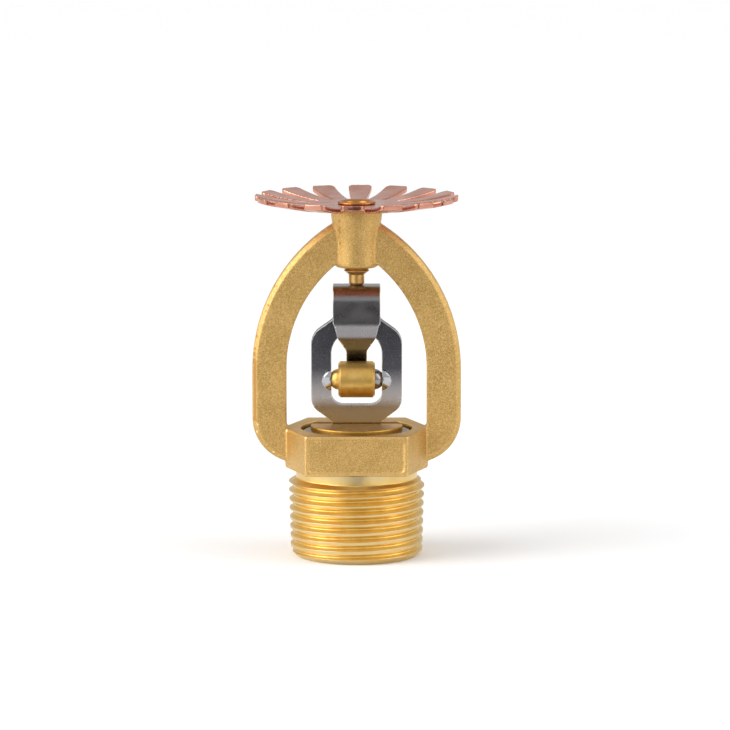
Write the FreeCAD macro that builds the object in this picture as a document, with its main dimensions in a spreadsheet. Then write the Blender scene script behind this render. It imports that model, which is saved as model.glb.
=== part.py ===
import FreeCAD, Part
import math
import os
import Sketcher

# A pendent or upright fire sprinkler head with a fusible-alloy capsule.
# It stands on the end of its pipe nipple: +Z runs up the axis from the inlet to the deflector,
# and -Y is the front, where the trigger lever bends over the strut.
# Every length is in millimetres and every angle in degrees.

DIMENSIONS = {
    # Nipple with a tapered 3/4 inch pipe thread.
    "nipple_end_radius": 11.9,
    "thread_start": 1.1,
    "thread_end": 14.7,
    "thread_small_radius": 13.0,
    "thread_large_radius": 13.4,
    "thread_pitch": 1.814,
    "thread_turns": 9.25,
    "thread_lead_in": 0.25,
    "thread_root_radius": 12.15,
    "thread_root_round": 0.25,
    "thread_mouth_margin": 0.05,
    "neck_radius": 11.95,
    "neck_start": 15.6,
    "neck_corner_radius": 0.3,
    "neck_overlap": 0.5,
    # Wrench boss between the nipple and the yoke.
    "boss_bottom": 17.5,
    "boss_height": 7.9,
    "boss_front": 12.2,
    "boss_front_width": 10.0,
    "boss_side": 14.05,
    "boss_side_depth": 1.6,
    "boss_corner_radius": 0.5,
    "boss_edge_round": 0.35,
    "panel_margin": 0.6,
    "panel_corner_radius": 1.0,
    "panel_depth": 0.35,
    # Waterway through the nipple and the seat that the seal closes.
    "inlet_radius": 9.6,
    "inlet_depth": 14.0,
    "orifice_radius": 6.9,
    "orifice_start": 18.5,
    "seat_lip_radius": 8.3,
    "seat_lip_height": 23.4,
    "seat_bore_radius": 11.0,
    "seat_floor": 21.9,
    # Yoke: two arms that rise from the boss and meet above it in a pointed arch.
    "yoke_outside": 20.5,
    "yoke_inside": 13.8,
    "yoke_arch_radius": 33.9,
    "yoke_arch_start": 37.0,
    "yoke_straight_start": 27.5,
    "yoke_root_radius": 9.0,
    "yoke_root_end": 13.0,
    "yoke_web": 1.8,
    "yoke_web_low": 24.0,
    "yoke_web_high": 25.0,
    "yoke_depth": 5.0,
    "yoke_bevel": 0.9,
    # Crown where the arms meet, with the spigot that holds the deflector.
    "crown_bottom": 57.1,
    "crown_low_radius": 4.3,
    "crown_edge_round": 0.8,
    "crown_flare_round": 12.0,
    "crown_radius": 5.0,
    "crown_flare_start": 62.0,
    "crown_taper_end": 67.2,
    "crown_top": 68.6,
    "spigot_radius": 3.0,
    "spigot_head_radius": 3.75,
    "spigot_edge_round": 0.2,
    "spigot_top": 70.15,
    "screw_bore_radius": 2.52,
    "screw_bore_mouth": 0.5,
    # Deflector: a dished disc cut into tines.
    "deflector_radius": 19.9,
    "deflector_thickness": 1.0,
    "deflector_flat_radius": 6.5,
    "deflector_rise": 1.7,
    "deflector_hole_radius": 3.02,
    "tine_count": 16,
    "slot_root": 9.0,
    "slot_root_width": 0.7,
    "slot_rim_width": 2.75,
    "tine_corner_radius": 1.25,
    "deflector_turn": 9.15,
    # Load screw in the crown.
    "screw_radius": 2.45,
    "screw_root_radius": 2.05,
    "screw_pitch": 0.8,
    "screw_crest_low": 0.32,
    "screw_crest_high": 0.44,
    "screw_body_end": 56.1,
    "screw_neck_radius": 1.53,
    "screw_neck_start": 55.7,
    "screw_tip_radius": 1.2,
    "screw_tip_taper": 0.4,
    "screw_tip": 53.65,
    "screw_top": 69.6,
    "screw_top_chamfer": 0.3,
    "socket_across": 2.5,
    "socket_depth": 2.5,
    # Strut: a window plate that leans forward from the cap to the lever.
    "strut_foot_y": 1.8,
    "strut_foot_z": 25.6,
    "strut_tilt": 6.4,
    "strut_height": 26.9,
    "strut_thickness": 1.6,
    "strut_width": 17.9,
    "strut_foot_width": 9.8,
    "strut_neck_width": 9.2,
    "strut_taper_start": 0.85,
    "strut_taper_end": 3.9,
    "strut_corner_radius": 3.2,
    "strut_shoulder_start": 18.4,
    "strut_shoulder_end": 21.55,
    "strut_shoulder_radius": 4.0,
    "strut_neck_corner_radius": 1.2,
    "strut_edge_round": 0.78,
    "window_width": 9.9,
    "window_bottom": 4.2,
    "window_corner_radius": 2.3,
    "window_arch": 14.55,
    "seat_height": 9.2,
    "seat_sphere_radius": 2.16,
    "seat_sphere_x": 3.35,
    "seat_swell_radius": 2.45,
    "seat_swell_x": 4.7,
    "seat_swell_depth": 1.4,
    # Lever: a bent strip that rests on the strut and reaches behind the capsule.
    "lever_width": 9.3,
    "lever_waist_width": 7.6,
    "lever_tail_width": 4.1,
    "lever_thickness": 1.2,
    "lever_top": 53.6,
    "lever_back": 2.1,
    "lever_front": 3.6,
    "lever_foot_y": 5.15,
    "lever_foot_z": 33.0,
    "lever_bend_radius": 1.8,
    "lever_knee_z": 46.2,
    "lever_elbow_y": -2.7,
    "lever_elbow_z": 43.7,
    "lever_slope_y": -0.5,
    "lever_slope_z": 41.3,
    "lever_ramp_y": 3.75,
    "lever_ramp_z": 38.2,
    "lever_drop_z": 36.2,
    "lever_front_bend": 3.0,
    "lever_rear_bend": 2.0,
    "lever_shoulder_z": 47.2,
    "lever_waist_z": 43.5,
    "lever_tail_z": 40.6,
    "lever_shoulder_round": 2.0,
    "lever_tail_round": 1.2,
    # Fusible capsule: barrel, alloy, disc and ball along one cross axis.
    "capsule_z": 34.76,
    "capsule_y": 0.77,
    "barrel_radius": 3.6,
    "barrel_length": 7.2,
    "barrel_chamfer": 0.45,
    "barrel_bore_radius": 2.15,
    "barrel_floor": 2.3,
    "ball_radius": 2.1,
    "alloy_length": 2.9,
    "disc_thickness": 0.35,
    "stack_gap": 0.02,
    # Cap, disc spring and gasket that close the waterway.
    "cap_radius": 9.05,
    "cap_top": 25.9,
    "cap_bottom": 24.75,
    "cap_plug_radius": 5.0,
    "cap_plug_bottom": 22.4,
    "cap_plug_chamfer": 0.4,
    "cap_rim_chamfer": 0.5,
    "cap_edge_round": 0.25,
    "seal_play": 0.02,
    "cap_slot_width": 1.9,
    "cap_slot_depth": 0.35,
    "spring_radius": 10.5,
    "spring_hole_radius": 5.3,
    "spring_thickness": 0.5,
    "spring_lift": 0.35,
    "gasket_thickness": 0.3,
    "gasket_inner_radius": 7.0,
    "gasket_outer_radius": 8.9,
}

# The thread groove's half mouth as a share of the pitch, and an arc's radius as a share of half its
# chord, which is just over 1 because a full half circle has no single centre side.
THREAD_MOUTH_SHARE = 0.47
HALF_TURN = 1.0002


class Size:
    """A number that also knows the sheet expression that gives it."""

    def __init__(self, value, text):
        self.value = value
        self.text = text

    def joined(self, sign, other, value):
        return Size(value, "({} {} {})".format(self.text, sign, words(other)))

    def __add__(self, other):
        return self.joined("+", other, self.value + number(other))

    def __sub__(self, other):
        return self.joined("-", other, self.value - number(other))

    def __mul__(self, other):
        return self.joined("*", other, self.value * number(other))

    def __truediv__(self, other):
        return self.joined("/", other, self.value / number(other))

    def __neg__(self):
        return self * -1


def number(item):
    return item.value if isinstance(item, Size) else float(item)


def words(item):
    return item.text if isinstance(item, Size) else repr(float(item))


doc = FreeCAD.newDocument("sprinkler")
sheet = doc.addObject("Spreadsheet::Sheet", "sizes")
for row, (alias, value) in enumerate(DIMENSIONS.items(), start=1):
    sheet.set("A{}".format(row), alias)
    sheet.set("B{}".format(row), str(value))
    sheet.setAlias("B{}".format(row), alias)
doc.recompute()


def size(alias):
    return Size(DIMENSIONS[alias], "sizes.{}".format(alias))


# ---------------------------------------------------------------- drawing helpers


def bind(target, path, value):
    """Gives a property its value, through the sheet where the value comes from there."""
    if isinstance(value, Size):
        target.setExpression(path, value.text)
    else:
        setattr(target, path, value)


def new_body(name):
    body = doc.addObject("PartDesign::Body", name)
    body.Label = name
    return body


def origin_item(body, role):
    return next(item for item in body.Origin.OriginFeatures if item.Role == role)


def new_sketch(body, name, plane, offset=None):
    """A sketch on one of the body's origin planes, moved along the plane's normal by offset."""
    sketch = body.newObject("Sketcher::SketchObject", name)
    sketch.AttachmentSupport = [(origin_item(body, plane), "")]
    sketch.MapMode = "FlatFace"
    if offset is not None:
        bind(sketch, "AttachmentOffset.Base.z", offset)
    return sketch


def pin_point(sketch, geometry, position, x, y):
    """Ties a point to the origin by its two coordinates."""
    for kind, axis, coordinate in (("DistanceX", -2, x), ("DistanceY", -1, y)):
        if number(coordinate) == 0:
            sketch.addConstraint(Sketcher.Constraint("PointOnObject", geometry, position, axis))
            continue
        rule = Sketcher.Constraint(kind, -1, 1, geometry, position, number(coordinate))
        index = sketch.addConstraint(rule)
        if isinstance(coordinate, Size):
            sketch.setExpression("Constraints[{}]".format(index), coordinate.text)


def set_radius(sketch, geometry, radius):
    """Holds an arc's radius. The sign of the given radius only tells which way the side turns."""
    index = sketch.addConstraint(Sketcher.Constraint("Radius", geometry, abs(number(radius))))
    if isinstance(radius, Size):
        sketch.setExpression("Constraints[{}]".format(index), "abs({})".format(radius.text))


def corner(x, y, fillet=0, arc=0):
    """A corner of an outline. fillet rounds it; arc is the radius of the side that leaves it,
    positive where that side turns to the left and negative where it turns to the right."""
    return {"x": x, "y": y, "fillet": fillet, "arc": arc}


def arc_between(start, end, radius):
    """The short arc from start to end. A negative radius turns to the right."""
    chord = end - start
    half = chord.Length / 2
    across = FreeCAD.Vector(-chord.y, chord.x, 0).normalize()
    rise = math.sqrt(max(radius * radius - half * half, 0))
    centre = (start + end) / 2 + across * math.copysign(rise, radius)
    first, last = (start, end) if radius > 0 else (end, start)
    angles = [math.atan2(point.y - centre.y, point.x - centre.x) for point in (first, last)]
    circle = Part.Circle(centre, FreeCAD.Vector(0, 0, 1), abs(radius))
    return Part.ArcOfCircle(circle, angles[0], angles[1])


def fillet_ends(before, at, after, radius):
    """Where a fillet of this radius leaves the two sides of a corner, and its signed radius."""
    arriving = (at - before).normalize()
    leaving = (after - at).normalize()
    turn = math.atan2(arriving.x * leaving.y - arriving.y * leaving.x, arriving.dot(leaving))
    reach = radius * math.tan(abs(turn) / 2)
    return at - arriving * reach, at + leaving * reach, math.copysign(radius, turn)


def draw(sketch, corners, closed=True):
    """Draws straight and round sides through the corners, held by coordinates and radii."""
    count = len(corners)
    points = [FreeCAD.Vector(number(item["x"]), number(item["y"]), 0) for item in corners]
    leaves = list(points)
    arrives = list(points)
    turns = {}
    for index, item in enumerate(corners):
        if number(item["fillet"]):
            before = points[index - 1]
            after = points[(index + 1) % count]
            ends = fillet_ends(before, points[index], after, number(item["fillet"]))
            arrives[index], leaves[index], turns[index] = ends

    sides = {}
    for index in range(count if closed else count - 1):
        start = leaves[index]
        end = arrives[(index + 1) % count]
        radius = corners[index]["arc"]
        if number(radius):
            made = sketch.addGeometry(arc_between(start, end, number(radius)), False)
            set_radius(sketch, made, radius)
            ends = (1, 2) if number(radius) > 0 else (2, 1)
        else:
            made = sketch.addGeometry(Part.LineSegment(start, end), False)
            ends = (1, 2)
        sides[index] = (made, ends)

    for index, item in enumerate(corners):
        behind = sides.get((index - 1) % count)
        ahead = sides.get(index)
        if index in turns:
            bend = sketch.addGeometry(arc_between(arrives[index], leaves[index], turns[index]), False)
            bend_ends = (1, 2) if turns[index] > 0 else (2, 1)
            mark = sketch.addGeometry(Part.Point(points[index]), True)
            pin_point(sketch, mark, 1, item["x"], item["y"])
            for side in (behind, ahead):
                sketch.addConstraint(Sketcher.Constraint("PointOnObject", mark, 1, side[0]))
            meets = ((behind[0], behind[1][1], bend_ends[0]), (ahead[0], ahead[1][0], bend_ends[1]))
            for side, side_end, bend_end in meets:
                sketch.addConstraint(Sketcher.Constraint("Tangent", side, side_end, bend, bend_end))
            set_radius(sketch, bend, item["fillet"])
            continue
        if behind and ahead:
            rule = Sketcher.Constraint("Coincident", behind[0], behind[1][1], ahead[0], ahead[1][0])
            sketch.addConstraint(rule)
        if ahead:
            pin_point(sketch, ahead[0], ahead[1][0], item["x"], item["y"])
        else:
            pin_point(sketch, behind[0], behind[1][1], item["x"], item["y"])


def box_corners(half_x, low_y, high_y, fillet=0):
    """A rectangle that is centred on the sketch's vertical axis."""
    return [
        corner(-half_x, low_y, fillet),
        corner(half_x, low_y, fillet),
        corner(half_x, high_y, fillet),
        corner(-half_x, high_y, fillet),
    ]


def add_feature(body, kind, name, profile=None):
    feature = body.newObject("PartDesign::{}".format(kind), name)
    if profile is not None:
        feature.Profile = profile
    return feature


def pad(body, name, profile, length, both_sides=False):
    feature = add_feature(body, "Pad", name, profile)
    feature.SideType = "Symmetric" if both_sides else "One side"
    bind(feature, "Length", length)
    doc.recompute()
    return feature


def pocket(body, name, profile, depth=None):
    """A pocket of this depth, or right through both ways where no depth is given."""
    before = body.Shape.Volume
    feature = add_feature(body, "Pocket", name, profile)
    if depth is None:
        feature.SideType = "Two sides"
        feature.Type = "ThroughAll"
        feature.Type2 = "ThroughAll"
    else:
        bind(feature, "Length", depth)
    doc.recompute()
    if body.Shape.Volume >= before:
        raise RuntimeError("{} cuts nothing".format(name))
    return feature


def turned(body, name, profile, axis="V_Axis"):
    feature = add_feature(body, "Revolution", name, profile)
    feature.ReferenceAxis = (profile, [axis])
    feature.Angle = 360
    doc.recompute()
    return feature


def turned_body(name, corners, plane="XZ_Plane", axis="V_Axis"):
    """A body turned from one outline about an axis of its sketch."""
    body = new_body(name)
    profile = new_sketch(body, name + "_profile", plane)
    draw(profile, corners)
    turned(body, name + "_turning", profile, axis)
    return body


def mirrored(body, name, original, plane):
    feature = body.newObject("PartDesign::Mirrored", name)
    feature.Originals = [original]
    feature.MirrorPlane = (origin_item(body, plane), [""])
    body.Tip = feature
    doc.recompute()
    return feature


def edges_where(shape, wanted):
    """Names of the edges whose ends and middle all pass the test."""
    names = []
    for index, edge in enumerate(shape.Edges, start=1):
        middle = edge.valueAt((edge.FirstParameter + edge.LastParameter) / 2)
        if all(wanted(point) for point in [vertex.Point for vertex in edge.Vertexes] + [middle]):
            names.append("Edge{}".format(index))
    return names


def placed_primitive(body, kind, name, x, z):
    """A PartDesign primitive whose centre lies at x, z in the body's middle plane."""
    feature = add_feature(body, kind, name)
    feature.AttachmentSupport = [(origin_item(body, "XY_Plane"), "")]
    feature.MapMode = "FlatFace"
    bind(feature, "AttachmentOffset.Base.x", x)
    bind(feature, "AttachmentOffset.Base.z", z)
    return feature


def dress(body, kind, name, wanted, amount_property, amount):
    """A fillet or chamfer on the edges of the body's last feature that pass the test."""
    base = body.Tip
    feature = body.newObject("PartDesign::{}".format(kind), name)
    feature.Base = (base, edges_where(base.Shape, wanted))
    bind(feature, amount_property, amount)
    doc.recompute()
    return feature


def near(value, target):
    return abs(value - number(target)) < 1e-4


# ---------------------------------------------------------------- frame


def make_nipple():
    """Threaded nipple: a tapered blank with a right-hand thread cut in it. The crests follow the
    taper, and the root is left parallel, because a tapered root nearly touches the blank."""
    neck_top = size("boss_bottom") + size("neck_overlap")
    body = turned_body("nipple", [
        corner(0, 0),
        corner(size("nipple_end_radius"), 0),
        corner(size("thread_small_radius"), size("thread_start")),
        corner(size("thread_large_radius"), size("thread_end")),
        corner(size("neck_radius"), size("neck_start"), fillet=size("neck_corner_radius")),
        corner(size("neck_radius"), neck_top),
        corner(0, neck_top),
    ])
    groove = new_sketch(body, "thread_groove", "XZ_Plane")
    root = size("thread_root_radius")
    mouth = size("thread_large_radius") + size("thread_mouth_margin")
    half_mouth = size("thread_pitch") * THREAD_MOUTH_SHARE
    low = size("thread_lead_in") - size("thread_pitch")
    draw(groove, [
        corner(root, low, fillet=size("thread_root_round")),
        corner(mouth, low + half_mouth),
        corner(mouth, low - half_mouth),
    ])
    before = body.Shape.Volume
    thread = add_feature(body, "SubtractiveHelix", "thread", groove)
    thread.ReferenceAxis = (groove, ["V_Axis"])
    thread.Mode = "pitch-height-angle"
    thread.LeftHanded = False
    thread.Reversed = False
    bind(thread, "Pitch", size("thread_pitch"))
    bind(thread, "Height", size("thread_pitch") * size("thread_turns"))
    doc.recompute()
    if body.Shape.Volume >= before:
        raise RuntimeError("the thread cuts nothing")
    return body


def make_wrench_boss():
    body = new_body("wrench_boss")
    plan = new_sketch(body, "boss_plan", "XY_Plane", size("boss_bottom"))
    front = size("boss_front")
    flat = size("boss_front_width")
    side = size("boss_side")
    half_side = size("boss_side_depth")
    quarter = [(flat, -front), (side, -half_side), (side, half_side), (flat, front)]
    around = quarter + [(-x, -y) for x, y in quarter]
    draw(plan, [corner(x, y, fillet=size("boss_corner_radius")) for x, y in around])
    pad(body, "boss_pad", plan, size("boss_height"))
    low = size("boss_bottom")
    high = low + size("boss_height")
    dress(
        body, "Fillet", "boss_rims",
        lambda point: near(point.z, low) or near(point.z, high),
        "Radius", size("boss_edge_round"),
    )
    panel = new_sketch(body, "panel_outline", "XZ_Plane", front)
    margin = size("panel_margin")
    round_corner = size("panel_corner_radius")
    draw(panel, box_corners(flat - margin, low + margin, high - margin, fillet=round_corner))
    recess = pocket(body, "panel_recess", panel, size("panel_depth"))
    mirrored(body, "rear_panel_recess", recess, "XZ_Plane")
    return body


def make_yoke():
    """Both arms, from inside the boss up to the point of the arch."""
    body = new_body("yoke")
    side_view = new_sketch(body, "yoke_side", "XZ_Plane")
    outside = size("yoke_outside")
    inside = size("yoke_inside")
    outer_radius = size("yoke_arch_radius")
    inner_radius = outer_radius - (outside - inside)
    centre_x = number(outside) - number(outer_radius)
    outer_top = number(size("yoke_arch_start")) + math.sqrt(number(outer_radius) ** 2 - centre_x ** 2)
    inner_top = number(size("yoke_arch_start")) + math.sqrt(number(inner_radius) ** 2 - centre_x ** 2)
    root_radius = size("yoke_root_radius")
    root_end_x = size("yoke_root_end")
    root_drop = math.sqrt(
        number(root_radius) ** 2 - number(root_end_x - (outside - root_radius)) ** 2)
    root_end_z = number(size("yoke_straight_start")) - root_drop
    draw(side_view, [
        corner(inside - size("yoke_web"), size("yoke_web_low")),
        corner(inside, size("yoke_web_high")),
        corner(inside, size("yoke_arch_start"), arc=inner_radius),
        corner(0, inner_top),
        corner(0, outer_top, arc=-outer_radius),
        corner(outside, size("yoke_arch_start")),
        corner(outside, size("yoke_straight_start"), arc=-root_radius),
        corner(root_end_x, root_end_z),
        corner(inside - size("yoke_web"), root_end_z),
    ])
    arm = pad(body, "right_arm", side_view, size("yoke_depth"), both_sides=True)
    mirrored(body, "left_arm", arm, "YZ_Plane")
    half_depth = size("yoke_depth") / 2

    def on_outer_rim(point):
        over_arch = math.hypot(abs(point.x) - centre_x, point.z - number(size("yoke_arch_start")))
        by_root = math.hypot(
            abs(point.x) - number(outside - root_radius), point.z - number(size("yoke_straight_start")))
        upper = point.z > number(size("yoke_arch_start")) and near(over_arch, outer_radius)
        lower = point.z < number(size("yoke_straight_start")) and near(by_root, root_radius)
        return near(abs(point.y), half_depth) and (upper or lower or near(abs(point.x), outside))

    dress(body, "Chamfer", "yoke_bevels", on_outer_rim, "Size", size("yoke_bevel"))
    return body


def make_crown():
    """Round boss at the top of the arch and the riveted spigot above it."""
    head_low = size("crown_top") + size("deflector_thickness")
    return turned_body("crown", [
        corner(0, size("crown_bottom")),
        corner(size("crown_low_radius"), size("crown_bottom"), fillet=size("crown_edge_round")),
        corner(size("crown_low_radius"), size("crown_flare_start"), fillet=size("crown_flare_round")),
        corner(size("crown_radius"), size("crown_taper_end")),
        corner(size("crown_radius"), size("crown_top")),
        corner(size("spigot_radius"), size("crown_top")),
        corner(size("spigot_radius"), head_low),
        corner(size("spigot_head_radius"), head_low),
        corner(size("spigot_head_radius"), size("spigot_top"), fillet=size("spigot_edge_round")),
        corner(0, size("spigot_top")),
    ])


def make_frame_bores():
    """Everything that is bored out of the frame: waterway, seal seat and screw hole."""
    above_boss = size("boss_bottom") + size("boss_height") + 1
    waterway = turned_body("waterway", [
        corner(0, -1),
        corner(size("inlet_radius"), -1),
        corner(size("inlet_radius"), size("inlet_depth")),
        corner(size("orifice_radius"), size("orifice_start")),
        corner(size("orifice_radius"), size("seat_lip_height")),
        corner(size("seat_lip_radius"), size("seat_lip_height")),
        corner(size("seat_lip_radius"), size("seat_floor")),
        corner(size("seat_bore_radius"), size("seat_floor")),
        corner(size("seat_bore_radius"), above_boss),
        corner(0, above_boss),
    ])
    mouth = size("screw_bore_mouth")
    screw_hole = turned_body("screw_hole", [
        corner(0, size("crown_bottom") - 1),
        corner(size("screw_bore_radius"), size("crown_bottom") - 1),
        corner(size("screw_bore_radius"), size("spigot_top") - mouth),
        corner(size("screw_bore_radius") + mouth, size("spigot_top")),
        corner(size("screw_bore_radius") + mouth, size("spigot_top") + 1),
        corner(0, size("spigot_top") + 1),
    ])
    return [waterway, screw_hole]


def make_frame():
    casting = doc.addObject("Part::MultiFuse", "casting")
    casting.Shapes = [make_nipple(), make_wrench_boss(), make_yoke(), make_crown()]
    bores = doc.addObject("Part::MultiFuse", "frame_bores")
    bores.Shapes = make_frame_bores()
    frame = doc.addObject("Part::Cut", "frame")
    frame.Base = casting
    frame.Tool = bores
    doc.recompute()
    return frame


# ---------------------------------------------------------------- deflector and load screw


def make_deflector():
    """Dished disc with tapered slots, clamped between the crown and the spigot head."""
    low = size("crown_top")
    thick = size("deflector_thickness")
    flat = size("deflector_flat_radius")
    rim = size("deflector_radius")
    rise = size("deflector_rise")
    span = number(rim - flat)
    dish_radius = (span ** 2 + number(rise) ** 2) / (2 * number(rise))
    body = turned_body("deflector", [
        corner(size("deflector_hole_radius"), low),
        corner(flat, low, arc=dish_radius),
        corner(rim, low + rise),
        corner(rim, low + rise + thick, arc=-dish_radius),
        corner(flat, low + thick),
        corner(size("deflector_hole_radius"), low + thick),
    ])
    plan = new_sketch(body, "slot_plan", "XY_Plane")
    half_root = size("slot_root_width") / 2
    half_rim = size("slot_rim_width") / 2
    round_x = size("tine_corner_radius")
    beyond = rim + 1
    draw(plan, [
        corner(size("slot_root") + half_root, -half_root),
        corner(rim - round_x, -half_rim, arc=-round_x),
        corner(rim, -half_rim - round_x),
        corner(beyond, -half_rim - round_x),
        corner(beyond, half_rim + round_x),
        corner(rim, half_rim + round_x, arc=-round_x),
        corner(rim - round_x, half_rim),
        corner(size("slot_root") + half_root, half_root, arc=half_root * HALF_TURN),
    ])
    slot = pocket(body, "slot", plan)
    ring = body.newObject("PartDesign::PolarPattern", "slots")
    ring.Originals = [slot]
    ring.Axis = (origin_item(body, "Z_Axis"), [""])
    ring.Angle = 360
    bind(ring, "Occurrences", size("tine_count"))
    body.Tip = ring
    doc.recompute()
    turn = FreeCAD.Rotation(FreeCAD.Vector(0, 0, 1), number(size("deflector_turn")))
    body.Placement = FreeCAD.Placement(FreeCAD.Vector(0, 0, 0), turn)
    return body


def make_load_screw():
    """Set screw with a reduced nose. Only its last turns stand below the crown."""
    major = size("screw_radius")
    minor = size("screw_root_radius")
    pitch = size("screw_pitch")
    end = size("screw_body_end")
    crests = []
    for turn in range(2):
        low = end + pitch * turn
        crests.append(corner(minor, low))
        crests.append(corner(major, low + size("screw_crest_low")))
        crests.append(corner(major, low + size("screw_crest_high")))
    outline = [
        corner(0, size("screw_tip")),
        corner(size("screw_tip_radius"), size("screw_tip")),
        corner(size("screw_neck_radius"), size("screw_tip") + size("screw_tip_taper")),
        corner(size("screw_neck_radius"), size("screw_neck_start")),
    ]
    outline += crests
    outline += [
        corner(minor, end + pitch * 2),
        corner(major, end + pitch * 2 + size("screw_crest_low")),
        corner(major, size("screw_top") - size("screw_top_chamfer")),
        corner(major - size("screw_top_chamfer"), size("screw_top")),
        corner(0, size("screw_top")),
    ]
    body = turned_body("load_screw", outline)
    drive = new_sketch(body, "socket_outline", "XY_Plane", size("screw_top"))
    half = size("socket_across") / 2
    reach = half * (2 / math.sqrt(3))
    draw(drive, [
        corner(reach, 0),
        corner(reach / 2, half),
        corner(-reach / 2, half),
        corner(-reach, 0),
        corner(-reach / 2, -half),
        corner(reach / 2, -half),
    ])
    pocket(body, "socket", drive, size("socket_depth"))
    return body


# ---------------------------------------------------------------- trigger


def make_strut():
    """Window plate. It is drawn upright on its foot and then leaned forward."""
    body = new_body("strut")
    thick = size("strut_thickness")
    half = size("strut_width") / 2
    foot = size("strut_foot_width") / 2
    neck = size("strut_neck_width") / 2
    top = size("strut_height")
    right = [
        corner(foot, 0),
        corner(foot, size("strut_taper_start")),
        corner(half, size("strut_taper_end"), fillet=size("strut_corner_radius")),
        corner(half, size("strut_shoulder_start"), fillet=size("strut_shoulder_radius")),
        corner(neck, size("strut_shoulder_end"), fillet=size("strut_neck_corner_radius")),
        corner(neck, top),
    ]
    left = [corner(-item["x"], item["y"], item["fillet"]) for item in reversed(right)]
    outline = new_sketch(body, "strut_outline", "XZ_Plane")
    draw(outline, right + left)
    pad(body, "strut_plate", outline, thick, both_sides=True)
    dress(
        body, "Fillet", "strut_ends",
        lambda point: near(abs(point.y), thick / 2) and (near(point.z, 0) or near(point.z, top)),
        "Radius", size("strut_edge_round"),
    )
    for side, name in ((1, "right"), (-1, "left")):
        x = size("seat_swell_x") * side
        swell = placed_primitive(body, "AdditiveEllipsoid", name + "_swell", x, size("seat_height"))
        bind(swell, "Radius1", size("seat_swell_radius"))
        bind(swell, "Radius2", size("seat_swell_radius"))
        bind(swell, "Radius3", size("seat_swell_depth"))
        doc.recompute()
    window = new_sketch(body, "window_outline", "XZ_Plane")
    half_window = size("window_width") / 2
    arch = size("window_arch")
    draw(window, [
        corner(-half_window, size("window_bottom"), fillet=size("window_corner_radius")),
        corner(half_window, size("window_bottom"), fillet=size("window_corner_radius")),
        corner(half_window, arch, arc=half_window * HALF_TURN),
        corner(-half_window, arch),
    ])
    pocket(body, "window", window)
    for side, name in ((1, "right"), (-1, "left")):
        x = size("seat_sphere_x") * side
        seat = placed_primitive(body, "SubtractiveSphere", name + "_seat", x, size("seat_height"))
        bind(seat, "Radius", size("seat_sphere_radius"))
        doc.recompute()
    lean = FreeCAD.Rotation(FreeCAD.Vector(1, 0, 0), number(size("strut_tilt")))
    foot_place = FreeCAD.Vector(0, number(size("strut_foot_y")), number(size("strut_foot_z")))
    body.Placement = FreeCAD.Placement(foot_place, lean)
    return body


def make_lever():
    """Strip bent over the top of the strut, through its window and down behind the capsule."""
    body = new_body("trigger_lever")
    thick = size("lever_thickness")
    middle = size("lever_top") - thick / 2
    bend = size("lever_bend_radius") + thick / 2
    front = size("lever_front")
    front_bend = size("lever_front_bend")
    rear_bend = size("lever_rear_bend")
    spine = new_sketch(body, "lever_spine", "YZ_Plane")
    draw(spine, [
        corner(size("lever_back"), middle),
        corner(-front, middle, fillet=bend),
        corner(-front, size("lever_knee_z"), fillet=front_bend),
        corner(size("lever_elbow_y"), size("lever_elbow_z"), fillet=front_bend),
        corner(size("lever_slope_y"), size("lever_slope_z"), fillet=front_bend),
        corner(size("lever_ramp_y"), size("lever_ramp_z"), fillet=rear_bend),
        corner(size("lever_foot_y"), size("lever_drop_z"), fillet=rear_bend),
        corner(size("lever_foot_y"), size("lever_foot_z")),
    ], closed=False)
    section = new_sketch(body, "lever_section", "XZ_Plane", -size("lever_back"))
    half = size("lever_width") / 2
    draw(section, box_corners(half, size("lever_top") - thick, size("lever_top")))
    strip = add_feature(body, "AdditivePipe", "lever_strip", section)
    strip.Spine = spine
    strip.Transition = "Right corner"
    doc.recompute()
    waist = size("lever_waist_width") / 2
    tail = size("lever_tail_width") / 2
    shoulder_round = size("lever_shoulder_round")
    below_foot = size("lever_foot_z") - 1
    side = new_sketch(body, "lever_waist", "XZ_Plane")
    draw(side, [
        corner(half, size("lever_shoulder_z"), fillet=shoulder_round),
        corner(waist, size("lever_waist_z"), fillet=shoulder_round),
        corner(tail, size("lever_tail_z"), fillet=size("lever_tail_round")),
        corner(tail, below_foot),
        corner(half + 1, below_foot),
        corner(half + 1, size("lever_shoulder_z")),
    ])
    cut = pocket(body, "right_waist", side)
    mirrored(body, "left_waist", cut, "YZ_Plane")
    return body


def across(shape_object, shift):
    """Lays an upright primitive along +X at the capsule's axis, shift from its middle."""
    place = FreeCAD.Vector(shift, number(size("capsule_y")), number(size("capsule_z")))
    turn = FreeCAD.Rotation(FreeCAD.Vector(0, 1, 0), 90)
    shape_object.Placement = FreeCAD.Placement(place, turn)


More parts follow.
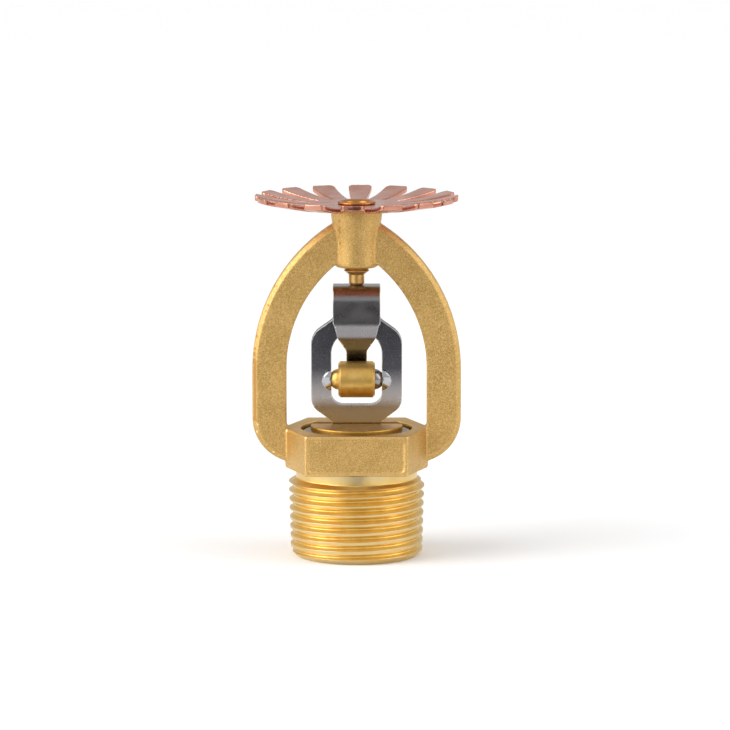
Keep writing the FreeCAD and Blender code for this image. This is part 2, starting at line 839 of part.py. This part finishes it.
def make_capsule():
    """Closed barrel with a domed end, the alloy in it, and the ball that the alloy holds out."""
    half = size("barrel_length") / 2
    radius = size("barrel_radius")
    chamfer = size("barrel_chamfer")
    ball = size("ball_radius")
    bore = size("barrel_bore_radius")
    floor = -size("barrel_floor")
    dome_half = math.sqrt(number(ball) ** 2 - number(half - size("seat_sphere_x")) ** 2)
    barrel = turned_body("capsule_barrel", [
        corner(floor, 0),
        corner(floor, bore),
        corner(half, bore),
        corner(half, radius - chamfer),
        corner(half - chamfer, radius),
        corner(chamfer - half, radius),
        corner(-half, radius - chamfer),
        corner(-half, dome_half, arc=ball),
        corner(-size("seat_sphere_x") - ball, 0),
    ], axis="H_Axis")
    barrel.Placement.Base = FreeCAD.Vector(0, number(size("capsule_y")), number(size("capsule_z")))

    gap = number(size("stack_gap"))
    alloy_start = gap - number(size("barrel_floor"))
    disc_start = alloy_start + number(size("alloy_length")) + gap
    plugs = (
        ("fusible_alloy", alloy_start, size("alloy_length")),
        ("thrust_disc", disc_start, size("disc_thickness")),
    )
    for name, start, length in plugs:
        plug = doc.addObject("Part::Cylinder", name)
        bind(plug, "Radius", bore - size("stack_gap") * 2)
        bind(plug, "Height", length)
        across(plug, start)
    sphere = doc.addObject("Part::Sphere", "capsule_ball")
    bind(sphere, "Radius", ball)
    across(sphere, number(size("seat_sphere_x")))


# ---------------------------------------------------------------- seal


def make_seal():
    """Cap with a slot for the strut's foot, the disc spring under it, and the gasket."""
    lip = size("seat_lip_height")
    gasket_top = lip + size("gasket_thickness")
    turned_body("gasket", [
        corner(size("gasket_inner_radius"), lip),
        corner(size("gasket_outer_radius"), lip),
        corner(size("gasket_outer_radius"), gasket_top),
        corner(size("gasket_inner_radius"), gasket_top),
    ])
    thick = size("spring_thickness")
    lift = size("spring_lift")
    hole = size("spring_hole_radius")
    rim = size("spring_radius")
    rest = size("gasket_outer_radius")
    spring_low = gasket_top + size("seal_play")
    turned_body("disc_spring", [
        corner(hole, spring_low),
        corner(rest, spring_low),
        corner(rim, spring_low + lift),
        corner(rim, spring_low + lift + thick),
        corner(rest, spring_low + thick),
        corner(hole, spring_low + thick),
    ])
    top = size("cap_top")
    chamfer = size("cap_plug_chamfer")
    flange_low = spring_low + thick + size("seal_play")
    cap = turned_body("cap", [
        corner(0, size("cap_plug_bottom")),
        corner(size("cap_plug_radius") - chamfer, size("cap_plug_bottom")),
        corner(size("cap_plug_radius"), size("cap_plug_bottom") + chamfer),
        corner(size("cap_plug_radius"), flange_low),
        corner(size("cap_radius") - size("cap_rim_chamfer"), flange_low),
        corner(size("cap_radius"), size("cap_bottom")),
        corner(size("cap_radius"), top, fillet=size("cap_edge_round")),
        corner(0, top),
    ])
    slot = new_sketch(cap, "foot_slot_outline", "YZ_Plane")
    middle = size("strut_foot_y")
    half = size("cap_slot_width") / 2
    draw(slot, [
        corner(middle - half, top - size("cap_slot_depth")),
        corner(middle + half, top - size("cap_slot_depth")),
        corner(middle + half, top + 1),
        corner(middle - half, top + 1),
    ])
    pocket(cap, "foot_slot", slot)


# ---------------------------------------------------------------- build and write

SUB_PARTS = [
    "frame", "deflector", "load_screw", "strut", "trigger_lever", "capsule_barrel",
    "fusible_alloy", "thrust_disc", "capsule_ball", "cap", "disc_spring", "gasket",
]


def write_parts():
    doc.recompute()
    for item in doc.Objects:
        if "Invalid" in item.State or "Error" in item.State:
            raise RuntimeError("{} failed".format(item.Name))
    os.makedirs("parts", exist_ok=True)
    for name in SUB_PARTS:
        item = doc.getObject(name)
        shape = item.Shape
        if shape.isNull() or not shape.isValid():
            raise RuntimeError("{} has no valid shape".format(name))
        print("{}: {} solid, {:.1f} cubic mm".format(name, len(shape.Solids), shape.Volume))
        shape.exportStep("parts/{}.step".format(item.Label))


make_frame()
make_deflector()
make_load_screw()
make_strut()
make_lever()
make_capsule()
make_seal()
write_parts()
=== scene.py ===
import math

import bmesh
import bpy
import numpy as np
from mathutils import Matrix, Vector


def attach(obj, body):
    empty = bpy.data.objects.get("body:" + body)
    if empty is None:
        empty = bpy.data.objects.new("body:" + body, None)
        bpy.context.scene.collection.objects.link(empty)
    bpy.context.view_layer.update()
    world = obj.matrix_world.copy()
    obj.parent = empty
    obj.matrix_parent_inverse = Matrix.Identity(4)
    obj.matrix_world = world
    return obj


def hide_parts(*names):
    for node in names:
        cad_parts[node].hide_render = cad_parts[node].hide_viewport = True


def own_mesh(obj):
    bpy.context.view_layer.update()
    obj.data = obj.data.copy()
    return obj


# A brass fire sprinkler head on a pale studio floor. Everything is in metres, with +Z up and
# the trigger lever's side facing -Y.

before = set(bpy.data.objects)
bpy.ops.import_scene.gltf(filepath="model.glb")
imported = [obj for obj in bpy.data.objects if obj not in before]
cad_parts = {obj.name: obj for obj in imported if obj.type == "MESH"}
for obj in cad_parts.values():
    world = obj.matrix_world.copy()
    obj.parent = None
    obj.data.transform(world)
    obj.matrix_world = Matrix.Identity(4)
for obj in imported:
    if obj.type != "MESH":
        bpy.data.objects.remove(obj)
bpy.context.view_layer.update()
scene = bpy.context.scene
MM = 0.001

# Heights and radii where one finish or mesh gives way to the next.
NECK_TOP = 17.5 * MM
ARCH_LOW = 26 * MM
BORE_FLOOR = 21.8 * MM
BORE_TOP = 25.3 * MM
BORE_RADIUS = 11.1 * MM
WATERWAY_RADIUS = 7 * MM
SPIGOT_LOW = 68.65 * MM
SEAT_X = 4.7 * MM
SEAT_HEIGHT = 34.8 * MM
SEAT_RADIUS = 2.15 * MM
# The strut darkens between these two heights: a painted dark reflection.
STRUT_CLEAN = 31 * MM
STRUT_PAINTED_DARK_TOP = 37 * MM
# Where the brown painted reflection on the lever's upper bend lies.
LEVER_REFLECTION_LOW = 51.3 * MM
LEVER_REFLECTION_HIGH = 52.1 * MM
LEVER_REFLECTION_BACK = -2.2 * MM
LEVER_REFLECTION_FRONT = -3.2 * MM

# Grid sizes of the meshes that are softened, and the angle, in degrees, over which an edge of the
# others stays sharp.
CASTING_GRID = 0.22 * MM
DEFLECTOR_GRID = 0.14 * MM
SHEET_GRID = 0.1 * MM
SHARP_ANGLE = 35

# Vertices closer than the first are one vertex, and closer than the second lie on a cut.
WELD_DISTANCE = 1e-6
CUT_DISTANCE = 1e-7

# The floor, and the two black cards in front of the set.
FLOOR_HALF = 6.0
FLAG_NEAR = 92 * MM
FLAG_FAR = 700 * MM
FLAG_NEAR_HALF = 35 * MM
FLAG_FAR_HALF = 150 * MM
FLAG_TOP = 120 * MM

# What the softboxes point at, and the camera, whose lens and sensor are in millimetres.
SOFTBOX_TARGET = (0, 0, 0.035)
CAMERA_PLACE = (1.65 * MM, -0.814, 0.157)
CAMERA_TARGET = (1.65 * MM, 0, 37.7 * MM)
CAMERA_LENS = 206.3
CAMERA_SENSOR = 36.0
CAMERA_NEAR = 0.01
CAMERA_FAR = 20


# ---------------------------------------------------------------- finishes


class Finish:
    """A metal finish: one Principled shader whose colour, roughness and relief come from nodes."""

    def __init__(self, name, metallic=1.0):
        self.material = bpy.data.materials.new(name)
        self.material.use_nodes = True
        self.tree = self.material.node_tree
        self.shader = self.tree.nodes["Principled BSDF"]
        self.shader.inputs["Metallic"].default_value = metallic
        self.place = self.node("TexCoord").outputs["Object"]
        self.normal = None

    def node(self, kind, **values):
        made = self.tree.nodes.new("ShaderNode" + kind)
        for name, value in values.items():
            made.inputs[name].default_value = value
        return made

    def link(self, source, target):
        self.tree.links.new(source, target)

    def stretched(self, along):
        """Object coordinates scaled by a factor along each axis, so that a pattern is drawn out."""
        mapping = self.node("Mapping")
        mapping.inputs["Scale"].default_value = along
        self.link(self.place, mapping.inputs["Vector"])
        return mapping.outputs["Vector"]

    def noise(self, grain, detail=3.0, along=(1, 1, 1), contrast=0.5):
        """Soft noise whose blotches are about grain metres across, as a value from 0 to 1."""
        made = self.node("TexNoise", Scale=1 / grain, Detail=detail, Roughness=contrast)
        self.link(self.stretched(along), made.inputs["Vector"])
        return made.outputs["Fac"]

    def coordinate(self, axis):
        """Where a point lies along X, Y or Z, in metres, in the piece's own rest position."""
        parts = self.node("SeparateXYZ")
        self.link(self.place, parts.inputs[0])
        return parts.outputs[axis]

    def spread(self, source, low, high, out_low=0.0, out_high=1.0):
        """Stretches the part of a value between low and high over the range given."""
        made = self.node("MapRange")
        made.clamp = True
        numbers = (("From Min", low), ("From Max", high), ("To Min", out_low), ("To Max", out_high))
        for name, value in numbers:
            made.inputs[name].default_value = value
        self.link(source, made.inputs["Value"])
        return made.outputs["Result"]

    def mix(self, factor, first, second):
        """Goes from the first colour to the second. Either may be a colour or another node's output."""
        made = self.tree.nodes.new("ShaderNodeMix")
        made.data_type = "RGBA"
        self.link(factor, made.inputs["Factor"])
        for socket, colour in ((made.inputs[6], first), (made.inputs[7], second)):
            if isinstance(colour, tuple):
                socket.default_value = (*colour, 1)
            else:
                self.link(colour, socket)
        return made.outputs[2]

    def product(self, first, second):
        made = self.node("Math")
        made.operation = "MULTIPLY"
        self.link(first, made.inputs[0])
        self.link(second, made.inputs[1])
        return made.outputs[0]

    def edges(self, low=0.5, high=0.6):
        """Where the surface is convex, from the mesh itself: 1 on sharp edges, 0 on flat faces."""
        return self.spread(self.node("NewGeometry").outputs["Pointiness"], low, high)

    def rounded(self, radius):
        """Softens sharp edges in the shading, as a tumbled or worn part has them."""
        made = self.node("Bevel", Radius=radius)
        made.samples = 6
        self.normal = made.outputs["Normal"]

    def relief(self, source, depth):
        """Adds a bump of this depth, in metres, on top of those added before."""
        made = self.node("Bump", Distance=depth)
        self.link(source, made.inputs["Height"])
        if self.normal is not None:
            self.link(self.normal, made.inputs["Normal"])
        self.normal = made.outputs["Normal"]

    def done(self, colour, roughness):
        self.link(colour, self.shader.inputs["Base Color"])
        self.link(roughness, self.shader.inputs["Roughness"])
        if self.normal is not None:
            self.link(self.normal, self.shader.inputs["Normal"])
        return self.material


def cast_brass():
    """Yellow brass casting, shot-blasted to an even grain, with painted glints on the grain. The wrench
    boss has bright edges, partly rubbed by the wrench and partly a painted highlight, and the arch's
    edges are painted brown as painted shade."""
    finish = Finish("cast_brass")
    grain = finish.noise(0.2 * MM, detail=3.0, contrast=0.6)
    speckle = finish.noise(0.8 * MM, detail=4.0)
    cloud = finish.noise(7 * MM, detail=3.0)
    darker = (0.58, 0.37, 0.12)
    lighter = (0.68, 0.435, 0.15)
    pit = (0.34, 0.19, 0.055)
    painted_glint = (0.92, 0.68, 0.33)
    # Bright tone for the wrench boss's edges: partly wear from the wrench, partly a painted highlight.
    wear_and_painted_highlight = (0.95, 0.72, 0.38)
    # Brown tone for the arch's edges: painted shade.
    painted_edge_shade = (0.46, 0.25, 0.075)
    body = finish.mix(finish.spread(cloud, 0.35, 0.65), darker, lighter)
    body = finish.mix(finish.spread(grain, 0.36, 0.5, 0.5, 0.0), body, pit)
    # Bright specks on the grain are a painted highlight, standing in for glints.
    body = finish.mix(finish.spread(grain, 0.52, 0.66, 0.0, 0.55), body, painted_glint)
    # Mask of the convex edges that take the worn and painted edge tones.
    edge_wear_and_painted_light = finish.edges(0.52, 0.6)
    on_arch = finish.spread(finish.coordinate("Z"), ARCH_LOW, ARCH_LOW + MM)
    rim = finish.mix(on_arch, wear_and_painted_highlight, painted_edge_shade)
    body = finish.mix(edge_wear_and_painted_light, body, rim)
    finish.relief(finish.noise(1.6 * MM, detail=2.0), 0.05 * MM)
    finish.relief(grain, 0.08 * MM)
    return finish.done(body, finish.spread(speckle, 0.3, 0.7, 0.42, 0.54))


def machined_brass():
    """Brass cut on a lathe: bright, with fine rings round the axis and a painted highlight paling the
    thread crests and other edges.
    """
    finish = Finish("machined_brass")
    rings = finish.noise(0.09 * MM, detail=2.0, along=(0.02, 0.02, 1))
    stain = finish.noise(2.5 * MM, detail=4.0)
    fresh = (0.84, 0.58, 0.18)
    stained = (0.74, 0.47, 0.12)
    painted_crest_highlight = (0.70, 0.54, 0.29)
    colour = finish.mix(finish.spread(stain, 0.4, 0.7), fresh, stained)
    # Edges, the thread crests among them, are paled: a painted highlight.
    colour = finish.mix(finish.edges(0.51, 0.58), colour, painted_crest_highlight)
    finish.rounded(0.12 * MM)
    finish.relief(rings, 0.003 * MM)
    return finish.done(colour, finish.spread(stain, 0.3, 0.7, 0.3, 0.4))


def turned_brass(name="turned_brass", colour=(0.80, 0.53, 0.17), shade=(0.62, 0.38, 0.09)):
    """Satin turned brass of the small parts."""
    finish = Finish(name)
    haze = finish.noise(1.2 * MM, detail=4.0)
    grain = finish.noise(0.12 * MM, detail=3.0)
    tone = finish.mix(finish.spread(haze, 0.35, 0.7), colour, shade)
    finish.rounded(0.1 * MM)
    finish.relief(grain, 0.008 * MM)
    return finish.done(tone, finish.spread(haze, 0.3, 0.7, 0.34, 0.46))


def peened_bronze():
    """The spun-over end of the spigot: redder than the casting, with the tool's rings on it."""
    finish = Finish("peened_bronze")
    rings = finish.noise(0.12 * MM, detail=2.0, along=(1, 1, 0.1))
    lighter = (0.54, 0.235, 0.065)
    darker = (0.40, 0.155, 0.04)
    tone = finish.mix(finish.noise(1.2 * MM), lighter, darker)
    finish.relief(rings, 0.012 * MM)
    return finish.done(tone, finish.spread(rings, 0.3, 0.7, 0.26, 0.38))


def deflector_copper():
    """Stamped copper: pink satin faces, with red sheared edges darkened by painted shade."""
    finish = Finish("deflector_copper")
    tarnish = finish.noise(3.5 * MM, detail=5.0)
    brushed = finish.noise(0.16 * MM, detail=3.0)
    pink = (0.66, 0.32, 0.235)
    tarnished = (0.52, 0.225, 0.15)
    painted_edge_colour = (0.62, 0.20, 0.11)
    face = finish.mix(finish.spread(tarnish, 0.35, 0.7), pink, tarnished)
    # The sheared edges are darkened to a deeper red: painted shade on the tines' side walls.
    tone = finish.mix(finish.edges(0.53, 0.62), face, painted_edge_colour)
    finish.relief(brushed, 0.01 * MM)
    finish.relief(finish.noise(1.1 * MM, detail=2.0), 0.03 * MM)
    return finish.done(tone, finish.spread(tarnish, 0.3, 0.7, 0.2, 0.32))


def sheet_metal(finish, face):
    """Satin rolled sheet of this tone, with a fine grain and a painted highlight on its sheared edges.
    """
    cloud = finish.noise(2.5 * MM, detail=3.0)
    grain = finish.noise(0.16 * MM, detail=3.0)
    scratch = (0.62, 0.62, 0.64)
    painted_edge_colour = (0.85, 0.86, 0.88)
    face = finish.mix(finish.spread(grain, 0.55, 0.75, 0.0, 0.35), face, scratch)
    # The edges are brightened to pale steel: a painted highlight.
    tone = finish.mix(finish.edges(0.515, 0.56), face, painted_edge_colour)
    finish.relief(grain, 0.005 * MM)
    return finish.done(tone, finish.spread(cloud, 0.3, 0.7, 0.26, 0.32))


def strut_sheet():
    """The strut is clean at its foot and darkened towards its top, a painted dark reflection of the
    room in front.
    """
    finish = Finish("strut_sheet")
    rising = finish.spread(finish.coordinate("Z"), STRUT_CLEAN, STRUT_PAINTED_DARK_TOP)
    # Darker towards the top: a painted dark reflection.
    clean = (0.60, 0.575, 0.58)
    painted_dark_reflection = (0.11, 0.11, 0.125)
    return sheet_metal(finish, finish.mix(rising, clean, painted_dark_reflection))


def lever_sheet():
    """The lever is one dull tone, with a brown painted reflection of the copper deflector above on the
    outside of its upper bend.
    """
    finish = Finish("lever_sheet")
    upper = finish.spread(finish.coordinate("Z"), LEVER_REFLECTION_LOW, LEVER_REFLECTION_HIGH)
    outer = finish.spread(finish.coordinate("Y"), LEVER_REFLECTION_BACK, LEVER_REFLECTION_FRONT)
    dull = (0.28, 0.27, 0.28)
    # Brown painted reflection of the copper deflector and brass above the bend.
    painted_copper_reflection = (0.26, 0.13, 0.085)
    return sheet_metal(finish, finish.mix(finish.product(upper, outer), dull, painted_copper_reflection))


def bright_steel(name, clear, hazy):
    """Polished steel with a faint haze."""
    finish = Finish(name)
    haze = finish.noise(1.5 * MM)
    tone = finish.mix(haze, clear, hazy)
    return finish.done(tone, finish.spread(haze, 0.3, 0.7, 0.05, 0.12))


def spring_steel():
    """Plated disc spring, a greyish tan."""
    finish = Finish("spring_steel")
    haze = finish.noise(2 * MM, detail=4.0)
    plated = (0.46, 0.42, 0.37)
    dulled = (0.33, 0.29, 0.25)
    tone = finish.mix(finish.spread(haze, 0.35, 0.7), plated, dulled)
    finish.rounded(0.08 * MM)
    finish.relief(finish.noise(0.15 * MM), 0.006 * MM)
    return finish.done(tone, finish.spread(haze, 0.3, 0.7, 0.3, 0.45))


def ptfe_film():
    """White plastic film, slightly soiled."""
    finish = Finish("ptfe_film", metallic=0.0)
    haze = finish.noise(1.5 * MM, detail=3.0)
    clean = (0.83, 0.82, 0.79)
    soiled = (0.72, 0.70, 0.66)
    tone = finish.mix(haze, clean, soiled)
    return finish.done(tone, finish.spread(haze, 0.3, 0.7, 0.4, 0.55))


def fusible_alloy():
    """Cast low-melting alloy: dull lead grey."""
    finish = Finish("fusible_alloy")
    haze = finish.noise(0.8 * MM, detail=5.0)
    lighter = (0.42, 0.43, 0.45)
    darker = (0.25, 0.26, 0.28)
    tone = finish.mix(finish.spread(haze, 0.3, 0.7), lighter, darker)
    finish.relief(haze, 0.03 * MM)
    return finish.done(tone, finish.spread(haze, 0.3, 0.7, 0.45, 0.65))


# ---------------------------------------------------------------- meshes


def shade_smooth(mesh, degrees):
    """Smooth shading, with edges over this angle left sharp."""
    mesh.shade_smooth()
    mesh.set_sharp_from_angle(angle=math.radians(degrees))


def copy_of(node, name):
    """A new object with a welded copy of a CAD node's mesh."""
    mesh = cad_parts[node].data.copy()
    mesh.name = name
    work = bmesh.new()
    work.from_mesh(mesh)
    bmesh.ops.remove_doubles(work, verts=work.verts, dist=WELD_DISTANCE)
    work.to_mesh(mesh)
    work.free()
    for name_of_layer in ("custom_normal", "sharp_face", "sharp_edge"):
        if name_of_layer in mesh.attributes:
            mesh.attributes.remove(mesh.attributes[name_of_layer])
    piece = bpy.data.objects.new(name, mesh)
    scene.collection.objects.link(piece)
    return piece


def keep_side(piece, height, above):
    """Cuts a closed mesh level at this height, keeps one side of it and closes the cut."""
    work = bmesh.new()
    work.from_mesh(piece.data)
    cut = bmesh.ops.bisect_plane(
        work, geom=work.verts[:] + work.edges[:] + work.faces[:], dist=CUT_DISTANCE,
        plane_co=(0, 0, height), plane_no=(0, 0, 1), clear_inner=above, clear_outer=not above)
    rim = [item for item in cut["geom_cut"] if isinstance(item, bmesh.types.BMEdge)]
    bmesh.ops.triangle_fill(work, edges=rim, use_beauty=True, normal=(0, 0, -1 if above else 1))
    bmesh.ops.recalc_face_normals(work, faces=work.faces)
    work.to_mesh(piece.data)
    work.free()


def apply_modifiers(piece):
    """Bakes the piece's modifiers into its mesh."""
    bpy.context.view_layer.update()
    graph = bpy.context.evaluated_depsgraph_get()
    made = bpy.data.meshes.new_from_object(piece.evaluated_get(graph))
    piece.modifiers.clear()
    piece.data = made


def soften(piece, voxel, passes):
    """Rounds every edge a little: an even remesh, then a few light smoothing passes."""
    remesh = piece.modifiers.new("remesh", "REMESH")
    remesh.mode = "VOXEL"
    remesh.voxel_size = voxel
    remesh.use_smooth_shade = True
    smooth = piece.modifiers.new("smooth", "SMOOTH")
    smooth.factor = 0.5
    smooth.iterations = passes
    apply_modifiers(piece)
    piece.data.shade_smooth()


def paint(piece, *materials):
    piece.data.materials.clear()
    for material in materials:
        piece.data.materials.append(material)


def paint_where(piece, index, test):
    """Gives material number index to every face whose centre (x, y, z) passes the test."""
    count = len(piece.data.polygons)
    centres = np.zeros(count * 3)
    piece.data.polygons.foreach_get("center", centres)
    centres = centres.reshape(-1, 3)
    chosen = np.zeros(count, np.int32)
    piece.data.polygons.foreach_get("material_index", chosen)
    chosen[test(*centres.T)] = index
    piece.data.polygons.foreach_set("material_index", chosen)


def stand_for(piece, body, slot, *nodes):
    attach(piece, body)
    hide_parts(*nodes)


# ---------------------------------------------------------------- the pieces


def in_bore(x, y, z):
    """True in the seal's counterbore and in the waterway below it."""
    radius = np.hypot(x, y)
    counterbore = (radius < BORE_RADIUS) & (z > BORE_FLOOR) & (z < BORE_TOP)
    waterway = (radius < WATERWAY_RADIUS) & (z < BORE_FLOOR)
    return counterbore | waterway


def on_spigot(x, y, z):
    """True on the end of the spigot that is spun over the deflector."""
    return z > SPIGOT_LOW


def make_frame():
    """The casting in two meshes: the blasted yoke and boss, and the threaded nipple below them."""
    yoke = copy_of("frame", "cast_yoke")
    keep_side(yoke, NECK_TOP, above=True)
    soften(yoke, CASTING_GRID, passes=2)
    paint(yoke, cast_brass(), machined_brass(), peened_bronze())
    paint_where(yoke, 1, in_bore)
    paint_where(yoke, 2, on_spigot)
    stand_for(yoke, "frame", "cast_brass", "frame")

    nipple = copy_of("frame", "threaded_nipple")
    keep_side(nipple, NECK_TOP, above=False)
    shade_smooth(nipple.data, SHARP_ANGLE)
    paint(nipple, machined_brass())
    stand_for(nipple, "frame", "cast_brass", "frame")


def make_deflector():
    """The slotted disc, as one softened stamping."""
    deflector = copy_of("deflector", "copper_deflector")
    soften(deflector, DEFLECTOR_GRID, passes=3)
    paint(deflector, deflector_copper())
    stand_for(deflector, "frame", "deflector_copper", "deflector")


def in_seat(x, y, z):
    """True round the two coined hollows that hold the capsule."""
    return np.hypot(np.abs(x) - SEAT_X, z - SEAT_HEIGHT) < SEAT_RADIUS


def make_trigger():
    """The two stampings: the strut with its polished seats, and the lever."""
    strut = copy_of("strut", "stamped_strut")
    soften(strut, SHEET_GRID, passes=3)
    coined = bright_steel("coined_seat", (0.56, 0.56, 0.58), (0.40, 0.39, 0.41))
    paint(strut, strut_sheet(), coined)
    paint_where(strut, 1, in_seat)
    stand_for(strut, "strut", "stainless_sheet", "strut")

    lever = copy_of("trigger_lever", "stamped_trigger_lever")
    soften(lever, SHEET_GRID, passes=3)
    paint(lever, lever_sheet())
    stand_for(lever, "lever", "stainless_sheet", "trigger_lever")


def make_alloy():
    """The pellet inside the barrel, on a mesh of its own."""
    pellet = copy_of("fusible_alloy", "alloy_pellet")
    shade_smooth(pellet.data, SHARP_ANGLE)
    paint(pellet, fusible_alloy())
    stand_for(pellet, "capsule", "fusible_alloy", "fusible_alloy")
    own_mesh(pellet)


def finish_small_parts():
    """The small turned parts keep their own meshes and take a finish."""
    finishes = {
        "load_screw": turned_brass("screw_bronze", (0.68, 0.42, 0.15), (0.50, 0.29, 0.09)),
        "capsule_barrel": turned_brass(),
        "cap": turned_brass("cap_brass", (0.62, 0.36, 0.085), (0.48, 0.27, 0.05)),
        "thrust_disc": turned_brass("disc_brass"),
        # The ball's steel is darkened: a painted dark reflection.
        "capsule_ball": bright_steel("ball_steel", (0.34, 0.33, 0.33), (0.24, 0.23, 0.23)),
        "disc_spring": spring_steel(),
        "gasket": ptfe_film(),
    }
    for node, material in finishes.items():
        paint(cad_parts[node], material)


# ---------------------------------------------------------------- studio


def plain_material(name, brightness):
    """A matt white or grey for the set, plain but for a mottle of half a percent."""
    finish = Finish(name, metallic=0.0)
    finish.shader.inputs["Specular IOR Level"].default_value = 0.0
    shades = [(value, value, value) for value in (brightness, brightness * 0.995)]
    mottle = finish.noise(0.2)
    return finish.done(finish.mix(mottle, *shades), finish.spread(mottle, 0, 1, 0.95, 1.0))


def make_card(name, corners, material):
    """One flat sheet of the set."""
    mesh = bpy.data.meshes.new(name)
    mesh.from_pydata(corners, [], [(0, 1, 2, 3)])
    card = bpy.data.objects.new(name, mesh)
    scene.collection.objects.link(card)
    mesh.materials.append(material)
    return card


def make_floor():
    signs = ((-1, -1), (1, -1), (1, 1), (-1, 1))
    corners = [(FLOOR_HALF * x, FLOOR_HALF * y, 0) for x, y in signs]
    make_card("floor", corners, plain_material("white_floor", 0.93))


def make_flags():
    """Black cards in front of the set, as for photographing polished metal: only mirror reflections
    see them, so that the steel keeps its contrast and the floor stays evenly lit."""
    black = plain_material("black_velvet", 0.02)
    lying = [(-FLAG_NEAR_HALF, -FLAG_NEAR, MM), (-FLAG_FAR_HALF, -FLAG_FAR, MM),
             (FLAG_FAR_HALF, -FLAG_FAR, MM), (FLAG_NEAR_HALF, -FLAG_NEAR, MM)]
    standing = [(-FLAG_FAR_HALF, -FLAG_FAR, 0), (-FLAG_FAR_HALF, -FLAG_FAR, FLAG_TOP),
                (FLAG_FAR_HALF, -FLAG_FAR, FLAG_TOP), (FLAG_FAR_HALF, -FLAG_FAR, 0)]
    for name, corners in (("lying_flag", lying), ("standing_flag", standing)):
        flag = make_card(name, corners, black)
        flag.visible_camera = False
        flag.visible_diffuse = False
        flag.visible_shadow = False


def aim(thing, place, target):
    """Stands a light or camera at one point, looking at another."""
    thing.location = Vector(place)
    thing.rotation_mode = "QUATERNION"
    thing.rotation_quaternion = (Vector(target) - Vector(place)).to_track_quat("-Z", "Y")


def softbox(name, place, width, height, power):
    """A rectangular soft light near the sprinkler."""
    light = bpy.data.lights.new(name, "AREA")
    light.shape = "RECTANGLE"
    light.size = width
    light.size_y = height
    light.energy = power
    lamp = bpy.data.objects.new(name, light)
    scene.collection.objects.link(lamp)
    aim(lamp, place, SOFTBOX_TARGET)


def make_world(strength):
    """A plain white room."""
    world = bpy.data.worlds.new("studio")
    scene.world = world
    world.use_nodes = True
    background = world.node_tree.nodes["Background"]
    background.inputs["Color"].default_value = (1, 1, 1, 1)
    background.inputs["Strength"].default_value = strength


def sun(name, place, strength, softness):
    """A far lamp that lights the whole floor evenly. Its softness is an angle in degrees."""
    light = bpy.data.lights.new(name, "SUN")
    light.energy = strength
    light.angle = math.radians(softness)
    lamp = bpy.data.objects.new(name, light)
    scene.collection.objects.link(lamp)
    aim(lamp, place, (0, 0, 0))


def make_studio():
    make_floor()
    make_flags()
    make_world(strength=0.68)
    sun("left_sun", place=(-1.0, -0.35, 0.6), strength=1.8, softness=60)
    sun("right_sun", place=(1.0, -0.3, 0.7), strength=0.6, softness=60)
    softbox("left_softbox", place=(-0.55, -0.2, 0.4), width=0.3, height=0.6, power=1.0)
    softbox("right_softbox", place=(0.6, -0.15, 0.4), width=0.3, height=0.6, power=0.7)
    scene.view_settings.view_transform = "Standard"
    scene.view_settings.look = "None"


def make_camera():
    """A long lens in front of the sprinkler, looking down at it a little."""
    camera = bpy.data.objects.new("camera", bpy.data.cameras.new("camera"))
    scene.collection.objects.link(camera)
    camera.data.lens = CAMERA_LENS
    camera.data.sensor_width = CAMERA_SENSOR
    camera.data.clip_start = CAMERA_NEAR
    camera.data.clip_end = CAMERA_FAR
    aim(camera, CAMERA_PLACE, CAMERA_TARGET)
    scene.camera = camera


make_frame()
make_deflector()
make_trigger()
make_alloy()
finish_small_parts()
make_studio()
make_camera()
